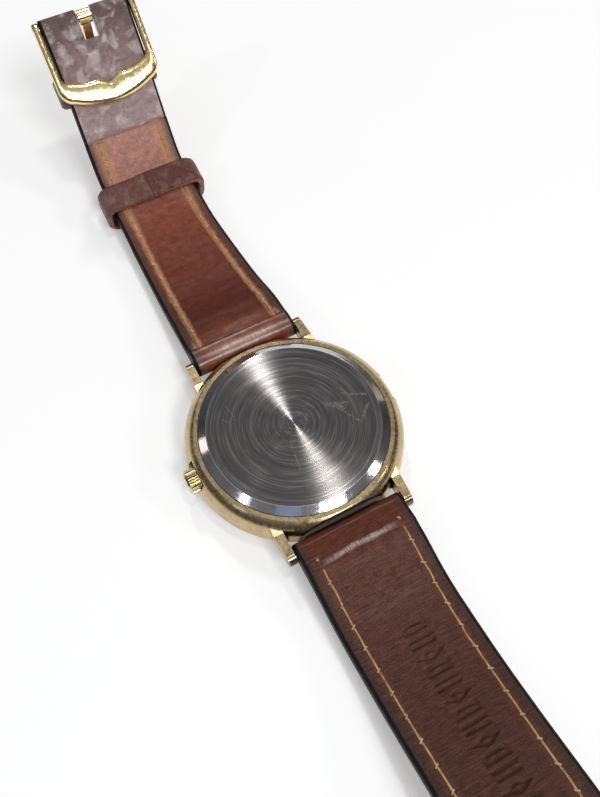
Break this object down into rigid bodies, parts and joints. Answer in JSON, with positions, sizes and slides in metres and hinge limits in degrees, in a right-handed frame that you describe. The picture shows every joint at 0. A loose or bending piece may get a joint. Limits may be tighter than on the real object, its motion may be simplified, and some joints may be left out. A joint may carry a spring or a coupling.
{
  "type": "wristwatch",
  "caption": "Round quartz dress wristwatch with a gold-tone case, press-fit steel back, padded leather strap, two keepers and a tongue buckle.",
  "frame": {"origin": "centre of the outer face of the crystal, on which the watch lies", "axes": "+Z out of the case back, +Y towards 12 o'clock and the buckle, -X towards the crown at 3 o'clock"},
  "size_m": [0.035, 0.2052, 0.0371],
  "materials": {
    "case_gold": "worn gold plate",
    "buckle_gold": "polished gold plate",
    "case_back_steel": "circular brushed, polished rim",
    "crystal_glass": "polished",
    "gasket_nylon": "smooth",
    "gasket_rubber": "smooth",
    "fine_steel": "satin",
    "bar_steel": "satin",
    "battery_steel": "polished",
    "holder_plastic": "moulded",
    "dial_paint": "satin cream",
    "dial_ring_metal": "gold tone",
    "hand_gold": "polished",
    "movement_nickel": "nickel plated",
    "movement_brass": "satin",
    "board_green": "lacquered",
    "coil_copper": "enamelled copper wire",
    "strap_leather": "glazed brown",
    "lining_leather": "oiled brown",
    "strap_core": "raw",
    "strap_thread": "waxed tan thread"
  },
  "bodies": {
    "case": {"case_middle": "case_gold", "bezel": "case_gold", "crystal": "crystal_glass", "crystal_gasket": "gasket_nylon", "case_back": "case_back_steel", "case_back_gasket": "gasket_rubber", "crown_tube": "movement_brass", "movement_holder": "holder_plastic", "dial": "dial_paint", "dial_markers": "hand_gold", "dial_ring": "dial_ring_metal", "main_plate": "movement_nickel", "train_bridge": "movement_nickel", "battery": "battery_steel", "battery_clamp": "fine_steel", "movement_screws": "fine_steel", "circuit_board": "board_green", "quartz_can": "fine_steel", "stator": "fine_steel", "coil_core": "fine_steel", "coil_winding": "coil_copper", "lug_bar_barrels": "bar_steel", "lug_bar_springs": "bar_steel"},
    "crown_slider": {"crown_gasket": "gasket_rubber"},
    "crown": {"crown": "case_gold", "winding_stem": "fine_steel"},
    "clutch": {"sliding_pinion": "fine_steel"},
    "setting_lever": {"setting_lever": "fine_steel"},
    "seconds": {"seconds_wheel": "movement_brass", "second_hand": "hand_gold"},
    "third": {"third_wheel": "movement_brass"},
    "minutes": {"centre_wheel": "movement_brass", "minute_hand": "hand_gold"},
    "motion_work": {"minute_wheel": "movement_brass"},
    "hours": {"hour_wheel": "movement_brass", "hour_hand": "hand_gold"},
    "intermediate": {"intermediate_wheel": "holder_plastic"},
    "rotor": {"rotor": "movement_brass"},
    "pin_12_left": {"lug_pin_12_left": "bar_steel"},
    "pin_12_right": {"lug_pin_12_right": "bar_steel"},
    "pin_6_left": {"lug_pin_6_left": "bar_steel"},
    "pin_6_right": {"lug_pin_6_right": "bar_steel"},
    "buckle_strap": {"buckle_strap_upper": "strap_leather", "buckle_strap_lining": "lining_leather", "buckle_strap_filler": "strap_core", "buckle_strap_thread": "strap_thread", "fixed_keeper": "strap_leather", "buckle_bar_barrel": "bar_steel", "buckle_bar_spring": "bar_steel"},
    "hole_strap": {"hole_strap_upper": "strap_leather", "hole_strap_lining": "lining_leather", "hole_strap_filler": "strap_core", "hole_strap_thread": "strap_thread"},
    "free_keeper": {"free_keeper": "strap_leather"},
    "buckle": {"buckle_frame": "buckle_gold"},
    "tongue": {"buckle_tongue": "buckle_gold"},
    "buckle_pin_left": {"buckle_pin_left": "bar_steel"},
    "buckle_pin_right": {"buckle_pin_right": "bar_steel"}
  },
  "joints": [
    {"name": "buckle_strap_hinge", "type": "hinge", "parent": "case", "child": "buckle_strap", "pos_m": [0, 0.0176, 0.0043], "axis": [1, 0, 0], "range_deg": [-20, 65]},
    {"name": "hole_strap_hinge", "type": "hinge", "parent": "case", "child": "hole_strap", "pos_m": [0, -0.0176, 0.0043], "axis": [-1, 0, 0], "range_deg": [-20, 65]},
    {"name": "buckle_hinge", "type": "hinge", "parent": "buckle_strap", "child": "buckle", "pos_m": [0, 0.07706, 0.02651], "axis": [-1, 0, 0], "range_deg": [0, 185]},
    {"name": "tongue_hinge", "type": "hinge", "parent": "buckle_strap", "child": "tongue", "pos_m": [0, 0.07706, 0.02651], "axis": [1, 0, 0], "range_deg": [0, 190]},
    {"name": "free_keeper_slide", "type": "slide", "parent": "buckle_strap", "child": "free_keeper", "axis": [0, -0.9871, -0.1599], "range_m": [0, 0.005]},
    {"name": "crown_pull", "type": "slide", "parent": "case", "child": "crown_slider", "axis": [-1, 0, 0], "range_m": [0, 0.0008]},
    {"name": "crown_turn", "type": "hinge", "parent": "crown_slider", "child": "crown", "pos_m": [-0.017, 0, 0.004], "axis": [-1, 0, 0], "continuous": true},
    {"name": "clutch_slide", "type": "slide", "parent": "case", "child": "clutch", "axis": [1, 0, 0], "range_m": [0, 0.0006]},
    {"name": "setting_lever_turn", "type": "hinge", "parent": "case", "child": "setting_lever", "pos_m": [-0.0092, 0.0019, 0.0046], "axis": [0, 0, -1], "range_deg": [0, 30]},
    {"name": "second_turn", "type": "hinge", "parent": "case", "child": "seconds", "pos_m": [0, 0, 0.004], "axis": [0, 0, 1], "continuous": true},
    {"name": "rotor_turn", "type": "hinge", "parent": "case", "child": "rotor", "pos_m": [-0.00378, -0.0045, 0.0042], "axis": [0, 0, 1], "continuous": true},
    {"name": "intermediate_turn", "type": "hinge", "parent": "case", "child": "intermediate", "pos_m": [-0.00216, -0.00257, 0.0048], "axis": [0, 0, 1], "continuous": true},
    {"name": "third_turn", "type": "hinge", "parent": "case", "child": "third", "pos_m": [-0.00059, 0.00335, 0.0044], "axis": [0, 0, 1], "continuous": true},
    {"name": "minute_turn", "type": "hinge", "parent": "case", "child": "minutes", "pos_m": [0, 0, 0.0041], "axis": [0, 0, 1], "continuous": true},
    {"name": "motion_work_turn", "type": "hinge", "parent": "case", "child": "motion_work", "pos_m": [0.0015, -0.0026, 0.003], "axis": [0, 0, 1], "continuous": true},
    {"name": "hour_turn", "type": "hinge", "parent": "case", "child": "hours", "pos_m": [0, 0, 0.0029], "axis": [0, 0, 1], "continuous": true},
    {"name": "pin_12_left_press", "type": "slide", "parent": "case", "child": "pin_12_left", "axis": [-1, 0, 0], "range_m": [0, 0.0008], "stiffness_N_per_m": 200, "springref_m": -0.002},
    {"name": "pin_12_right_press", "type": "slide", "parent": "case", "child": "pin_12_right", "axis": [1, 0, 0], "range_m": [0, 0.0008], "stiffness_N_per_m": 200, "springref_m": -0.002},
    {"name": "pin_6_left_press", "type": "slide", "parent": "case", "child": "pin_6_left", "axis": [-1, 0, 0], "range_m": [0, 0.0008], "stiffness_N_per_m": 200, "springref_m": -0.002},
    {"name": "pin_6_right_press", "type": "slide", "parent": "case", "child": "pin_6_right", "axis": [1, 0, 0], "range_m": [0, 0.0008], "stiffness_N_per_m": 200, "springref_m": -0.002},
    {"name": "buckle_pin_left_press", "type": "slide", "parent": "buckle_strap", "child": "buckle_pin_left", "axis": [-1, 0, 0], "range_m": [0, 0.0008], "stiffness_N_per_m": 200, "springref_m": -0.002},
    {"name": "buckle_pin_right_press", "type": "slide", "parent": "buckle_strap", "child": "buckle_pin_right", "axis": [1, 0, 0], "range_m": [0, 0.0008], "stiffness_N_per_m": 200, "springref_m": -0.002}
  ],
  "couplings": [
    {"joint": "clutch_slide", "follows": "crown_pull", "ratio": 0.6},
    {"joint": "setting_lever_turn", "follows": "crown_pull", "rad_per_m": 526.32},
    {"joint": "rotor_turn", "follows": "second_turn", "ratio": 30},
    {"joint": "intermediate_turn", "follows": "second_turn", "ratio": -5},
    {"joint": "third_turn", "follows": "second_turn", "ratio": -0.13333},
    {"joint": "minute_turn", "follows": "second_turn", "ratio": 0.016667},
    {"joint": "motion_work_turn", "follows": "second_turn", "ratio": -0.0055556},
    {"joint": "hour_turn", "follows": "second_turn", "ratio": 0.0013889}
  ]
}
